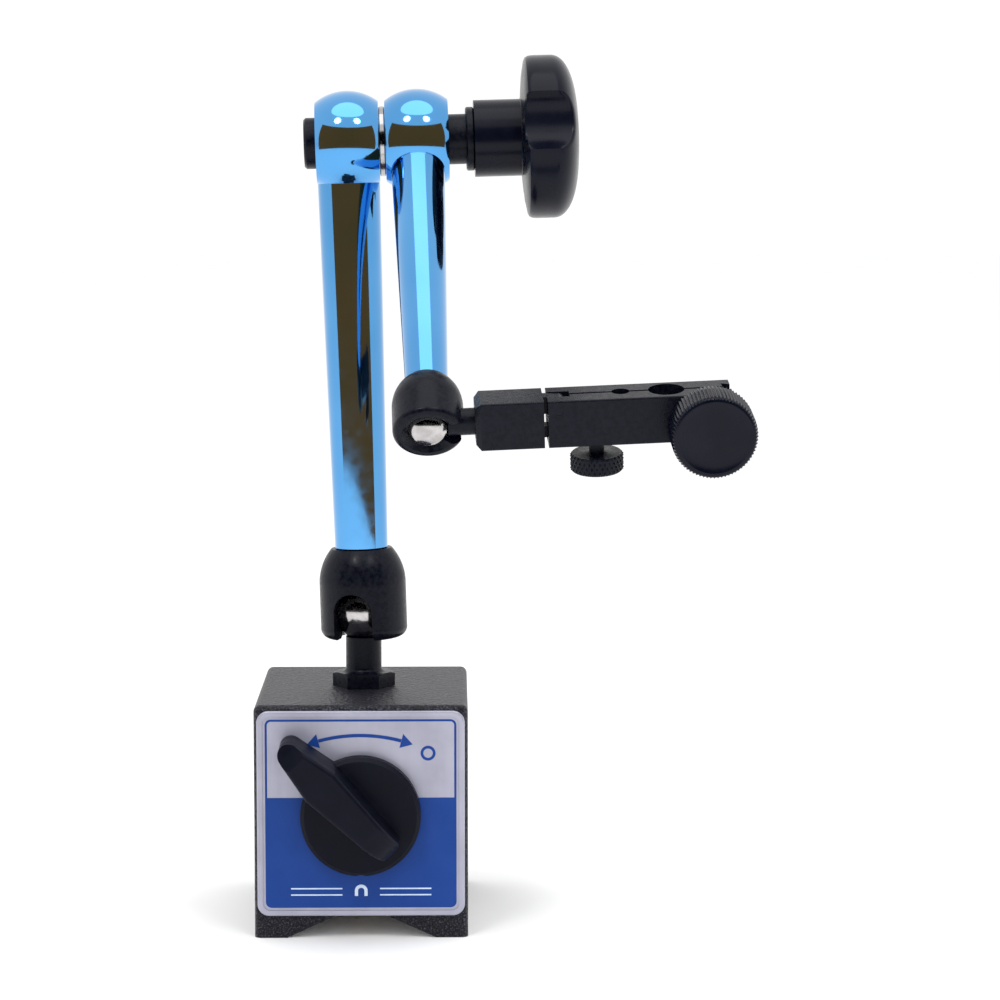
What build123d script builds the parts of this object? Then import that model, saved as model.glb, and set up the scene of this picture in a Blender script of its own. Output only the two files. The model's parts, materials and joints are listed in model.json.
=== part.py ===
"""Magnetic base with a centre-lock articulated arm and a fine-adjusting indicator clamp.

All lengths are millimetres. The origin is the middle of the base's underside, X runs to the
right, Y to the back and Z up. The arm is drawn in the pose it stands in: the lower arm nearly
upright, the upper arm swung down towards the front and the indicator clamp held out to the right.
"""

import math
import os

from build123d import *

os.makedirs("parts", exist_ok=True)

# Magnetic base
BASE_W = 50.0
BASE_L = 60.0
BASE_H = 55.0
BASE_EDGE = 1.6
GROOVE_HALF = 17.5
GROOVE_DEPTH = 8.0
SPACER_T = 3.2
BORE_R = 14.4
BORE_Z = 29.6
BUSH_T = 5.0
COVER_R = 18.0
COVER_T = 1.5
PLATE_W = 48.5
PLATE_T = 0.8
PLATE_CORNER = 2.8
PLATE_RIM = 1.3
PLATE_DISH = 0.3
SPINDLE_R = 3.0

# Rotary magnet and its lever
ROTOR_R = 14.0
ROTOR_L = 49.4
MAGNET_T = 11.0
LEVER_DISC_R = 14.0
LEVER_DISC_T = 4.0
LEVER_GAP = 0.4
LEVER_REACH = 25.4
LEVER_TAIL = 11.0
RIB_H = 10.0
RIB_ANGLE = 135.0
RIB_EDGE = 1.0
STOP_X = 7.42
STOP_HALF_SWEEP = 51.0

# Post and lower ball
STUD_R = 3.95
STUD_DEPTH = 9.0
HEX_AF = 13.0
HEX_T = 3.5
NECK_R = 4.3
BALL_R = 7.5
BALL_Z = 73.6
SPIGOT_R = 2.6

# Lower arm
LEAN = 1.7
YAW = 1.0
ARM_LENGTH = 111.95
SOCKET_R = 10.4
SLOT_W = 9.5
SLOT_TURN = 16.0
TUBE_END_R = 6.0
TUBE_LOW_R = 6.35
TUBE_TOP_R = 7.45
ROD_R = 3.0

# Centre joint
HEAD_R = 12.2
HEAD_HALF = 7.5
HEAD_PITCH = 16.48
WASHER_R = 8.3
WASHER_T = 1.4
BOLT_R = 4.0
BOLT_HEAD_R = 6.05
BOLT_HEAD_T = 2.8
BOLT_BORE_R = 4.2
SLEEVE_R = 5.45
COLLAR_R = 5.95
COLLAR_T = 4.1
THRUST_R = 7.55
THRUST_T = 1.9
HUB_R = 9.1
KNOB_R = 19.3
LOBES = 3
FLUTE_R = 8.0
FLUTE_DEPTH = 5.0
FLUTE_AT = 78.0

# Upper arm
UPPER_ANGLE = 46.0
UPPER_LENGTH = 89.8
UPPER_TOP_R = 6.35
UPPER_LOW_R = 4.7
UPPER_BALL_R = 5.0
UPPER_SOCKET_R = 7.9
UPPER_MOUTH = 3.45
UPPER_SLOT_W = 6.4
UPPER_ROD_R = 1.75

# Indicator clamp
RISE = 1.0
ROLL = 13.5
STEM_R = 3.0
SECTION = 10.7
ROOT_START = 10.3
ROOT_END = 25.3
CLAMP_START = 26.2
CLAMP_END = 66.8
PIVOT_X = 28.6
PIVOT_Z = 3.1
PIVOT_R = 1.0
LUG_W = 3.0
TONGUE_END = 39.4
TONGUE_LOW = 2.8
THUMB_X = 37.0
THUMB_R = 6.0
SMALL_HOLE_X = 42.5
SMALL_HOLE_R = 2.0
LARGE_HOLE_X = 52.6
LARGE_HOLE_R = 4.0
SLIT_W = 0.8
SCREW_X = 61.7
SCREW_Z = -1.6
SCREW_R = 2.5
CLAMP_KNOB_R = 9.5
CLAMP_KNOB_T = 9.0

RUN = 0.05


def outline(plane, *paths):
    """Closed faces on a plane; an entry holding two points is an arc through the first to the second."""
    with BuildSketch(plane, mode=Mode.PRIVATE) as drawn:
        for path in paths:
            here = path[0]
            with BuildLine():
                for step in path[1:] + path[:1]:
                    if isinstance(step[0], tuple):
                        ThreePointArc(here, step[0], step[1])
                        here = step[1]
                    elif step != here:
                        Line(here, step)
                        here = step
            make_face()
    return drawn.sketch


def disc(plane, radius, across=0.0, along=0.0):
    """A round face on a plane."""
    with BuildSketch(plane, mode=Mode.PRIVATE) as drawn:
        with Locations((across, along)):
            Circle(radius)
    return drawn.sketch


def side_of(frame):
    """The plane that holds a frame's axis, with the radius along its local x."""
    return Plane(origin=frame.origin, x_dir=frame.x_dir, z_dir=-frame.y_dir)


def turned(frame, path, mode=Mode.ADD):
    """Turn an outline of (radius, height) about the frame's z axis."""
    revolve(outline(side_of(frame), path), axis=Axis(frame.origin, frame.z_dir), mode=mode)


def round_bar(frame, radius, low, high, mode=Mode.ADD):
    """A cylinder along the frame's z axis from one height to another."""
    extrude(disc(frame.offset(low), radius), amount=high - low, mode=mode)


def ball_at(frame, radius, mode=Mode.ADD):
    """A sphere centred on the frame's origin."""
    with Locations(frame.location):
        Sphere(radius, mode=mode)


def slab(frame, width, depth, low, high, mode=Mode.ADD):
    """A rectangular bar along the frame's z axis from one height to another."""
    across, along = width / 2, depth / 2
    corners = [(-across, -along), (across, -along), (across, along), (-across, along)]
    extrude(outline(frame.offset(low), corners), amount=high - low, mode=mode)


def save(shape, name):
    """Label a finished piece and write it out."""
    shape.part.label = name
    export_step(shape.part, "parts/" + name + ".step")


# ---------------------------------------------------------------- frames

front_of_base = Plane(origin=(0, -BASE_L / 2, 0), x_dir=(1, 0, 0), z_dir=(0, -1, 0))
rotor_axis = Plane(origin=(0, 0, BORE_Z), x_dir=(1, 0, 0), z_dir=(0, -1, 0))
post = Plane(origin=(0, 0, BALL_Z), x_dir=(1, 0, 0), z_dir=(0, 0, 1))

lean = math.radians(LEAN)
yaw = math.radians(YAW)
arm_dir = Vector(-math.sin(lean), 0, math.cos(lean))
level_dir = Vector(math.cos(lean), 0, math.sin(lean))
bolt_dir = level_dir * math.cos(yaw) + arm_dir.cross(level_dir) * math.sin(yaw)
lower_arm = Plane(origin=(0, 0, BALL_Z), x_dir=bolt_dir, z_dir=arm_dir)
lower_centre = lower_arm.origin + arm_dir * ARM_LENGTH
upper_centre = lower_centre + bolt_dir * HEAD_PITCH
bolt_axis = Plane(origin=lower_centre, x_dir=lower_arm.y_dir, z_dir=bolt_dir)
lower_head_frame = Plane(origin=lower_centre, x_dir=bolt_dir, z_dir=-arm_dir)

tip = math.radians(UPPER_ANGLE)
upper_dir = arm_dir * -math.cos(tip) + lower_arm.y_dir * -math.sin(tip)
upper_arm = Plane(origin=upper_centre, x_dir=bolt_dir, z_dir=upper_dir)
upper_ball_centre = upper_centre + upper_dir * UPPER_LENGTH
upper_end = Plane(origin=upper_ball_centre, x_dir=bolt_dir, z_dir=upper_dir * -1)

slot_turn = math.radians(SLOT_TURN)
slot_dir = lower_arm.x_dir * -math.sin(slot_turn) + lower_arm.y_dir * -math.cos(slot_turn)
lower_slot = Plane(origin=lower_arm.origin, x_dir=arm_dir.cross(slot_dir), z_dir=slot_dir)
upper_slot = Plane(origin=upper_ball_centre, x_dir=upper_end.y_dir, z_dir=bolt_dir)

rise = math.radians(RISE)
roll = math.radians(ROLL)
stem_dir = bolt_dir * math.cos(rise) + upper_dir * -math.sin(rise)
plumb = (Vector(0, 0, 1) - stem_dir * stem_dir.Z).normalized()
clamp_up = plumb * math.cos(roll) + stem_dir.cross(plumb) * math.sin(roll)
stem_axis = Plane(origin=upper_ball_centre, x_dir=clamp_up, z_dir=stem_dir)
clamp_back = clamp_up.cross(stem_dir)


def on_clamp(along, up=0.0, back=0.0):
    """A point of the indicator clamp, measured from the upper ball's centre."""
    return upper_ball_centre + stem_dir * along + clamp_up * up + clamp_back * back


def clamp_upright(along):
    """A frame standing up through the clamp at a distance along it."""
    return Plane(origin=on_clamp(along), x_dir=stem_dir, z_dir=clamp_up)


def clamp_cross(along, up):
    """A frame running through the clamp from front to back."""
    return Plane(origin=on_clamp(along, up), x_dir=stem_dir, z_dir=clamp_back)


# ---------------------------------------------------------------- magnetic base


def pole(side):
    """One soft-iron half of the base, on the side of positive or negative x."""
    inner = side * SPACER_T / 2
    outer = side * BASE_W / 2
    slope = GROOVE_DEPTH * (1 - SPACER_T / 2 / GROOVE_HALF)
    extrude(
        outline(
            front_of_base,
            [
                (inner, BASE_H),
                (outer, BASE_H),
                (outer, 0),
                (side * GROOVE_HALF, 0),
                (inner, slope),
            ],
        ),
        amount=-BASE_L,
    )
    corners = edges().filter_by(Axis.Z).sort_by(Axis.X)
    fillet(corners[-2:] if side > 0 else corners[:2], BASE_EDGE)
    rim = faces().sort_by(Axis.Z)[-1].edges()
    near = [e for e in rim if abs(e.center().X - inner) > 0.1]
    fillet(near, BASE_EDGE)
    round_bar(rotor_axis, BORE_R, -BASE_L / 2, BASE_L / 2, Mode.SUBTRACT)
    round_bar(rotor_axis, COVER_R, -BASE_L / 2, COVER_T - BASE_L / 2, Mode.SUBTRACT)
    round_bar(Plane.XY, STUD_R + RUN, BASE_H - STUD_DEPTH, BASE_H, Mode.SUBTRACT)


with BuildPart() as pole_left:
    pole(-1)
save(pole_left, "pole_left")

with BuildPart() as pole_right:
    pole(1)
save(pole_right, "pole_right")

with BuildPart() as spacer_upper:
    with BuildSketch(front_of_base):
        with Locations((0, BASE_H / 2 + BORE_Z / 2)):
            Rectangle(SPACER_T, BASE_H - BORE_Z)
    extrude(amount=-BASE_L)
    ends = spacer_upper.faces().sort_by(Axis.Z)[-1].edges().filter_by(Axis.X)
    fillet(ends, BASE_EDGE)
    round_bar(rotor_axis, BORE_R, -BASE_L / 2, BASE_L / 2, Mode.SUBTRACT)
    round_bar(rotor_axis, COVER_R, -BASE_L / 2, COVER_T - BASE_L / 2, Mode.SUBTRACT)
    round_bar(Plane.XY, STUD_R + RUN, BASE_H - STUD_DEPTH, BASE_H, Mode.SUBTRACT)
save(spacer_upper, "spacer_upper")

with BuildPart() as spacer_lower:
    extrude(
        outline(
            front_of_base,
            [
                (-SPACER_T / 2, GROOVE_DEPTH * (1 - SPACER_T / 2 / GROOVE_HALF)),
                (0, GROOVE_DEPTH),
                (SPACER_T / 2, GROOVE_DEPTH * (1 - SPACER_T / 2 / GROOVE_HALF)),
                (SPACER_T / 2, BORE_Z),
                (-SPACER_T / 2, BORE_Z),
            ],
        ),
        amount=-BASE_L,
    )
    round_bar(rotor_axis, BORE_R, -BASE_L / 2, BASE_L / 2, Mode.SUBTRACT)
    round_bar(rotor_axis, COVER_R, -BASE_L / 2, COVER_T - BASE_L / 2, Mode.SUBTRACT)
save(spacer_lower, "spacer_lower")

bush_low = BASE_L / 2 - BUSH_T
with BuildPart() as front_bush:
    round_bar(rotor_axis, BORE_R - 0.02, bush_low, BASE_L / 2)
    round_bar(rotor_axis, SPINDLE_R + RUN, bush_low, BASE_L / 2, Mode.SUBTRACT)
    extrude(disc(rotor_axis.offset(bush_low), 1.02, STOP_X, -STOP_X), amount=3.0, mode=Mode.SUBTRACT)
save(front_bush, "front_bush")

with BuildPart() as rear_bush:
    round_bar(rotor_axis, BORE_R - 0.02, COVER_T - BASE_L / 2, -bush_low)
    round_bar(rotor_axis, SPINDLE_R + RUN, COVER_T - BASE_L / 2, -bush_low, Mode.SUBTRACT)
save(rear_bush, "rear_bush")

with BuildPart() as rear_cover:
    round_bar(rotor_axis, COVER_R - 0.05, -BASE_L / 2, COVER_T - BASE_L / 2)
    chamfer(rear_cover.edges().sort_by(Axis.Y)[-1:], 0.3)
save(rear_cover, "rear_cover")

with BuildPart() as stop_pin:
    extrude(disc(rotor_axis.offset(bush_low - 2.0), 1.0, STOP_X, -STOP_X), amount=4.8)
save(stop_pin, "stop_pin")

with BuildPart() as name_plate:
    with BuildSketch(front_of_base):
        with Locations((0, BORE_Z)):
            RectangleRounded(PLATE_W, PLATE_W, PLATE_CORNER)
            Circle(SPINDLE_R + 0.4, mode=Mode.SUBTRACT)
    extrude(amount=PLATE_T)
    outer_rim = name_plate.faces().sort_by(Axis.Y)[0].outer_wire().edges()
    fillet(outer_rim, 0.45)
    with BuildSketch(front_of_base.offset(PLATE_T - PLATE_DISH)):
        with Locations((0, BORE_Z)):
            RectangleRounded(PLATE_W - 2 * PLATE_RIM, PLATE_W - 2 * PLATE_RIM, PLATE_CORNER - 1.0)
    extrude(amount=PLATE_T, mode=Mode.SUBTRACT)
save(name_plate, "name_plate")

with BuildPart() as base_stud:
    turned(
        post,
        [
            (0, BASE_H - STUD_DEPTH + 0.3 - BALL_Z),
            (STUD_R - 0.6, BASE_H - STUD_DEPTH + 0.3 - BALL_Z),
            (STUD_R, BASE_H - STUD_DEPTH + 0.9 - BALL_Z),
            (STUD_R, BASE_H - BALL_Z),
            (STUD_R, BASE_H + 1.0 - BALL_Z),
            (0, BASE_H + 1.0 - BALL_Z),
        ],
    )
    with BuildSketch(Plane.XY.offset(BASE_H)):
        RegularPolygon(HEX_AF / 2, 6, major_radius=False)
    extrude(amount=HEX_T)
    turned(
        post,
        [
            (0, BASE_H + 1.0 - BALL_Z),
            (NECK_R + 1.2, BASE_H + 1.0 - BALL_Z),
            (NECK_R + 1.2, BASE_H + HEX_T - BALL_Z),
            ((NECK_R + 0.35, BASE_H + HEX_T + 0.35 - BALL_Z), (NECK_R, BASE_H + HEX_T + 1.2 - BALL_Z)),
            (NECK_R, -6.6),
            (SPIGOT_R, -6.6),
            (SPIGOT_R, 2.0),
            (0, 2.0),
        ],
    )
    hex_cone = outline(
        side_of(post),
        [
            (0, BASE_H - BALL_Z - 15),
            (12, BASE_H - BALL_Z - 15),
            (12, BASE_H + HEX_T - BALL_Z - 2.9),
            (6.5, BASE_H + HEX_T - BALL_Z),
            (NECK_R + 1.2, BASE_H + HEX_T - BALL_Z + 4),
            (NECK_R + 1.2, 10),
            (0, 10),
        ],
    )
    envelope = revolve(hex_cone, axis=Axis(post.origin, post.z_dir), mode=Mode.PRIVATE)
    add(envelope, mode=Mode.INTERSECT)
save(base_stud, "base_stud")

# ---------------------------------------------------------------- rotary magnet

lever_back = BASE_L / 2 + PLATE_T + LEVER_GAP
with BuildPart() as rotor_spindle:
    turned(
        rotor_axis,
        [
            (0, COVER_T + 0.3 - BASE_L / 2),
            (SPINDLE_R, COVER_T + 0.3 - BASE_L / 2),
            (SPINDLE_R, lever_back + 5.5),
            (SPINDLE_R - 0.5, lever_back + 6.0),
            (0, lever_back + 6.0),
        ],
    )
save(rotor_spindle, "rotor_spindle")

with BuildPart() as rotor_magnet:
    with BuildSketch(rotor_axis.offset(-ROTOR_L / 2)):
        Circle(ROTOR_R - 0.1)
        Rectangle(MAGNET_T, 40, mode=Mode.INTERSECT)
        Circle(SPINDLE_R + 0.02, mode=Mode.SUBTRACT)
    extrude(amount=ROTOR_L)
save(rotor_magnet, "rotor_magnet")


def shoe(side):
    """A soft-iron segment on one side of the rotor magnet."""
    with BuildSketch(rotor_axis.offset(-ROTOR_L / 2), mode=Mode.PRIVATE) as segment:
        Circle(ROTOR_R)
        with Locations((side * (MAGNET_T / 2 + 15), 0)):
            Rectangle(30, 40, mode=Mode.INTERSECT)
    extrude(segment.sketch, amount=ROTOR_L)


with BuildPart() as rotor_shoe_a:
    shoe(1)
    sweep_x = 30 * math.cos(math.radians(STOP_HALF_SWEEP))
    sweep_z = 30 * math.sin(math.radians(STOP_HALF_SWEEP))
    with BuildSketch(rotor_axis.offset(ROTOR_L / 2 - 2.4)):
        Circle(11.8)
        Circle(9.2, mode=Mode.SUBTRACT)
        Polygon((0, 0), (sweep_x, -sweep_z), (40, 0), (sweep_x, sweep_z), align=None, mode=Mode.INTERSECT)
    extrude(amount=3, mode=Mode.SUBTRACT)
save(rotor_shoe_a, "rotor_shoe_a")

with BuildPart() as rotor_shoe_b:
    shoe(-1)
save(rotor_shoe_b, "rotor_shoe_b")

rib_angle = math.radians(RIB_ANGLE)
rib_frame = Plane(
    origin=(0, -lever_back, BORE_Z),
    x_dir=(math.cos(rib_angle), 0, math.sin(rib_angle)),
    z_dir=(0, -1, 0),
)
rib_side = Plane(origin=rib_frame.origin, x_dir=rib_frame.x_dir, z_dir=rib_frame.y_dir * -1)

with BuildPart() as switch_lever:
    round_bar(rib_frame, LEVER_DISC_R, 0, LEVER_DISC_T)
    chamfer(switch_lever.edges().sort_by(Axis.Y)[:1], 0.9)
    extrude(
        outline(
            rib_frame,
            [
                (-LEVER_TAIL + 1.2, 3.0),
                (12.5, 4.65),
                (LEVER_REACH - 2.2, 2.6),
                ((LEVER_REACH, 0), (LEVER_REACH - 2.2, -2.6)),
                (12.5, -4.65),
                (-LEVER_TAIL + 1.2, -3.0),
                ((-LEVER_TAIL, 0), (-LEVER_TAIL + 1.2, 3.0)),
            ],
        ),
        amount=LEVER_DISC_T + RIB_H,
    )
    extrude(
        outline(
            rib_side,
            [
                (-LEVER_TAIL - 3, LEVER_DISC_T + 3.0),
                (-LEVER_TAIL, LEVER_DISC_T + 3.0),
                ((-8.2, LEVER_DISC_T + 8.0), (-2.0, LEVER_DISC_T + RIB_H)),
                (-2.0, LEVER_DISC_T + RIB_H + 5),
                (-LEVER_TAIL - 3, LEVER_DISC_T + RIB_H + 5),
            ],
            [
                (LEVER_REACH + 3, LEVER_DISC_T + RIB_H - 2.5),
                (LEVER_REACH, LEVER_DISC_T + RIB_H - 2.5),
                (LEVER_REACH - 5, LEVER_DISC_T + RIB_H),
                (LEVER_REACH - 5, LEVER_DISC_T + RIB_H + 5),
                (LEVER_REACH + 3, LEVER_DISC_T + RIB_H + 5),
            ],
        ),
        amount=12, both=True, mode=Mode.SUBTRACT,
    )
    fillet(switch_lever.faces().sort_by(Axis.Y)[0].edges(), RIB_EDGE)
    round_bar(rib_frame, SPINDLE_R + 0.02, -1, 6.3, Mode.SUBTRACT)
    with BuildSketch(Plane(origin=(0, -lever_back - 2.0, BORE_Z), x_dir=(1, 0, 0), z_dir=(0, 0, -1))):
        Circle(1.5)
    extrude(amount=20, mode=Mode.SUBTRACT)
save(switch_lever, "switch_lever")

with BuildPart() as lever_grub_screw:
    grub = Plane(origin=(0, -lever_back - 2.0, BORE_Z), x_dir=(1, 0, 0), z_dir=(0, 0, -1))
    with BuildSketch(grub.offset(SPINDLE_R + 0.05)):
        Circle(1.45)
    extrude(amount=6.0)
    with BuildSketch(grub.offset(SPINDLE_R + 4.55)):
        RegularPolygon(0.75, 6, major_radius=False)
    extrude(amount=1.5, mode=Mode.SUBTRACT)
save(lever_grub_screw, "lever_grub_screw")

# ---------------------------------------------------------------- lower ball and arm

with BuildPart() as lower_ball:
    ball_at(post, BALL_R)
    round_bar(post, NECK_R + 0.02, -8, -6.58, Mode.SUBTRACT)
    round_bar(post, SPIGOT_R + RUN, -8, 2.05, Mode.SUBTRACT)
save(lower_ball, "lower_ball")

with BuildPart() as lower_socket:
    turned(
        lower_arm,
        [
            (6.0, -6.7),
            (8.4, -6.7),
            ((9.9, -5.8), (SOCKET_R, -4.0)),
            (SOCKET_R, 6.0),
            ((9.5, 11.2), (7.3, 14.9)),
            (TUBE_END_R + 0.02, 14.9),
            (TUBE_END_R + 0.02, 5.6),
            (BALL_R + RUN, 5.6),
            (BALL_R + RUN, 0),
            ((6.95, -2.92), (5.5, -5.17)),
            (5.5, -6.2),
        ],
    )
    with BuildSketch(lower_slot):
        Circle(SLOT_W / 2)
        with Locations((0, -5)):
            Rectangle(SLOT_W, 10)
    extrude(amount=14, mode=Mode.SUBTRACT)
save(lower_socket, "lower_socket")

head_seat = math.sqrt(HEAD_R**2 - TUBE_TOP_R**2)
rod_stop = ARM_LENGTH - 3.78

with BuildPart() as lower_pressure_pad:
    turned(
        lower_arm,
        [
            (0, BALL_R + 0.03),
            ((3.0, 6.91), (5.7, 4.91)),
            (5.7, 8.8),
            (5.2, 9.3),
            (0, 9.3),
        ],
    )
save(lower_pressure_pad, "lower_pressure_pad")

with BuildPart() as lower_push_rod:
    turned(
        lower_arm,
        [
            (0, 9.32),
            (ROD_R, 9.32),
            (ROD_R, rod_stop - 3.2),
            (1.0, rod_stop - 0.6),
            (1.0, rod_stop),
            (0, rod_stop),
        ],
    )
save(lower_push_rod, "lower_push_rod")

with BuildPart() as lower_tube:
    turned(
        lower_arm,
        [
            (ROD_R + 0.4, 10.3),
            (TUBE_END_R, 10.3),
            (TUBE_END_R, 14.9),
            (TUBE_LOW_R, 15.2),
            (TUBE_TOP_R, ARM_LENGTH - head_seat),
            (5.5, ARM_LENGTH - head_seat),
            (5.5, ARM_LENGTH - head_seat + 2.4),
            (ROD_R + 0.4, ARM_LENGTH - head_seat + 2.4),
        ],
    )
save(lower_tube, "lower_tube")


def head(frame, seat, spigot, bore, cross):
    """A truncated ball on the end of an arm, bored through for the draw bolt and the push rod."""
    ball_at(frame, HEAD_R)
    slab(frame, 2 * HEAD_HALF, 3 * HEAD_R, -HEAD_R - 1, seat, Mode.INTERSECT)
    round_bar(frame, spigot + 0.02, seat - 2.5, seat + 1, Mode.SUBTRACT)
    round_bar(frame, bore, 0, seat + 1, Mode.SUBTRACT)
    across = Plane(origin=frame.origin, x_dir=frame.y_dir, z_dir=frame.x_dir)
    round_bar(across, cross, -HEAD_HALF - 1, HEAD_HALF + 1, Mode.SUBTRACT)


with BuildPart() as lower_head:
    head(lower_head_frame, head_seat, 5.5, ROD_R + 0.4, BOLT_BORE_R)
save(lower_head, "lower_head")

# ---------------------------------------------------------------- centre joint

washer_low = HEAD_PITCH / 2 - WASHER_T / 2

with BuildPart() as head_washer:
    round_bar(bolt_axis, WASHER_R, washer_low, washer_low + WASHER_T)
    chamfer(head_washer.edges().filter_by(GeomType.CIRCLE), 0.25)
    round_bar(bolt_axis, BOLT_BORE_R, washer_low - 1, washer_low + WASHER_T + 1, Mode.SUBTRACT)
save(head_washer, "head_washer")

knob_start = HEAD_PITCH + HEAD_HALF + 0.05 + COLLAR_T + THRUST_T + 0.08
bolt_end = knob_start + 16.0

with BuildPart() as draw_bolt:
    turned(
        bolt_axis,
        [
            (0, -HEAD_HALF - BOLT_HEAD_T),
            (BOLT_HEAD_R - 0.5, -HEAD_HALF - BOLT_HEAD_T),
            (BOLT_HEAD_R, -HEAD_HALF - BOLT_HEAD_T + 0.5),
            (BOLT_HEAD_R, -HEAD_HALF - 0.04),
            (BOLT_R, -HEAD_HALF - 0.04),
            (BOLT_R, -1.6),
            (2.4, 1.6),
            (2.4, 3.2),
            (BOLT_R, 4.2),
            (BOLT_R, bolt_end - 0.8),
            (BOLT_R - 0.8, bolt_end),
            (0, bolt_end),
        ],
    )
    with BuildSketch(bolt_axis.offset(-HEAD_HALF - BOLT_HEAD_T)):
        RegularPolygon(2.5, 6, major_radius=False)
    extrude(amount=1.6, mode=Mode.SUBTRACT)
save(draw_bolt, "draw_bolt")

collar_low = HEAD_PITCH + HEAD_HALF + 0.05
with BuildPart() as cam_collar:
    turned(
        bolt_axis,
        [
            (BOLT_R + 0.08, HEAD_PITCH - 0.5),
            (SLEEVE_R - 1.0, HEAD_PITCH - 0.5),
            (SLEEVE_R, HEAD_PITCH + 1.5),
            (SLEEVE_R, collar_low),
            (COLLAR_R, collar_low),
            (COLLAR_R, collar_low + COLLAR_T),
            (BOLT_R + 0.08, collar_low + COLLAR_T),
        ],
    )
save(cam_collar, "cam_collar")

thrust_low = collar_low + COLLAR_T + 0.02
with BuildPart() as thrust_washer:
    round_bar(bolt_axis, THRUST_R, thrust_low, thrust_low + THRUST_T)
    chamfer(thrust_washer.edges().filter_by(GeomType.CIRCLE), 0.3)
    round_bar(bolt_axis, BOLT_R + 0.3, thrust_low - 1, thrust_low + THRUST_T + 1, Mode.SUBTRACT)
save(thrust_washer, "thrust_washer")

knob_frame = Plane(
    origin=bolt_axis.origin + bolt_dir * (knob_start + 12.2),
    x_dir=arm_dir,
    z_dir=bolt_dir,
)

with BuildPart() as lock_knob:
    with BuildSketch(knob_frame.offset(-1.2)):
        Circle(KNOB_R)
        with PolarLocations(KNOB_R + FLUTE_R - FLUTE_DEPTH, LOBES, start_angle=FLUTE_AT):
            Circle(FLUTE_R, mode=Mode.SUBTRACT)
        fillet(vertices(), 2.0)
    extrude(amount=16)
    dome = outline(
        side_of(knob_frame),
        [
            (0, -1.2),
            (HUB_R, -1.0),
            (KNOB_R - 0.9, 0),
            ((KNOB_R - 0.25, 0.3), (KNOB_R, 1.0)),
            (KNOB_R, 6.5),
            ((KNOB_R - 1.4, 9.3), (KNOB_R - 4.2, 10.9)),
            ((7.6, 12.2), (0, 12.6)),
        ],
    )
    shell = revolve(dome, axis=Axis(knob_frame.origin, bolt_dir), mode=Mode.PRIVATE)
    add(shell, mode=Mode.INTERSECT)
    round_bar(knob_frame, HUB_R, -12.2, 0.5)
    round_bar(knob_frame, 6.02, -12.2, 5.0, Mode.SUBTRACT)
save(lock_knob, "lock_knob")

with BuildPart() as knob_insert:
    round_bar(knob_frame, 6.0, -12.1, 4.9)
    round_bar(knob_frame, BOLT_R + RUN, -12.2, 5.0, Mode.SUBTRACT)
save(knob_insert, "knob_insert")

# ---------------------------------------------------------------- upper arm

upper_seat = math.sqrt(HEAD_R**2 - UPPER_TOP_R**2)

with BuildPart() as upper_head:
    head(upper_arm, upper_seat, 4.6, UPPER_ROD_R + 0.35, SLEEVE_R + 0.1)
save(upper_head, "upper_head")

with BuildPart() as upper_tube:
    turned(
        upper_arm,
        [
            (UPPER_ROD_R + 0.35, upper_seat - 2.4),
            (4.6, upper_seat - 2.4),
            (4.6, upper_seat),
            (UPPER_TOP_R, upper_seat),
            (UPPER_LOW_R + 0.05, UPPER_LENGTH - 11.6),
            (3.8, UPPER_LENGTH - 11.4),
            (3.8, UPPER_LENGTH - 7.4),
            (UPPER_ROD_R + 0.35, UPPER_LENGTH - 7.4),
        ],
    )
save(upper_tube, "upper_tube")

with BuildPart() as upper_push_rod:
    turned(
        upper_arm,
        [
            (0, 5.28),
            (0.9, 5.28),
            (0.9, 5.9),
            (UPPER_ROD_R, 7.6),
            (UPPER_ROD_R, UPPER_LENGTH - 6.62),
            (0, UPPER_LENGTH - 6.62),
        ],
    )
save(upper_push_rod, "upper_push_rod")

with BuildPart() as upper_pressure_pad:
    turned(
        upper_end,
        [
            (0, UPPER_BALL_R + 0.03),
            ((2.0, 4.615), (3.6, 3.51)),
            (3.6, 6.2),
            (3.2, 6.6),
            (0, 6.6),
        ],
    )
save(upper_pressure_pad, "upper_pressure_pad")

with BuildPart() as upper_socket:
    turned(
        upper_end,
        [
            (5.9, -UPPER_MOUTH),
            (6.5, -UPPER_MOUTH),
            ((7.5, -3.0), (UPPER_SOCKET_R, -2.0)),
            (UPPER_SOCKET_R, 4.6),
            ((7.1, 8.4), (5.1, 11.4)),
            (3.82, 11.4),
            (3.82, 4.0),
            (UPPER_BALL_R + RUN, 4.0),
            (UPPER_BALL_R + RUN, 0),
            ((4.94, -1.05), (4.6, -2.084)),
        ],
    )
    with BuildSketch(upper_slot):
        Circle(UPPER_SLOT_W / 2)
        with Locations((0, -2.5)):
            Rectangle(UPPER_SLOT_W, 5)
    extrude(amount=10, mode=Mode.SUBTRACT)
save(upper_socket, "upper_socket")

with BuildPart() as upper_ball:
    ball_at(stem_axis, UPPER_BALL_R)
    round_bar(stem_axis, STEM_R + 0.02, 4.3, 6, Mode.SUBTRACT)
    round_bar(stem_axis, 1.5 + RUN, -1.05, 6, Mode.SUBTRACT)
save(upper_ball, "upper_ball")

# ---------------------------------------------------------------- indicator clamp

half = SECTION / 2

with BuildPart() as adjuster_stem:
    turned(
        stem_axis,
        [
            (0, -1.0),
            (1.5, -1.0),
            (1.5, 4.32),
            (STEM_R, 4.32),
            (STEM_R, ROOT_START),
            (2.0, ROOT_START),
            (2.0, ROOT_START + 6.0),
            (0, ROOT_START + 6.0),
        ],
    )
save(adjuster_stem, "adjuster_stem")

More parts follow.
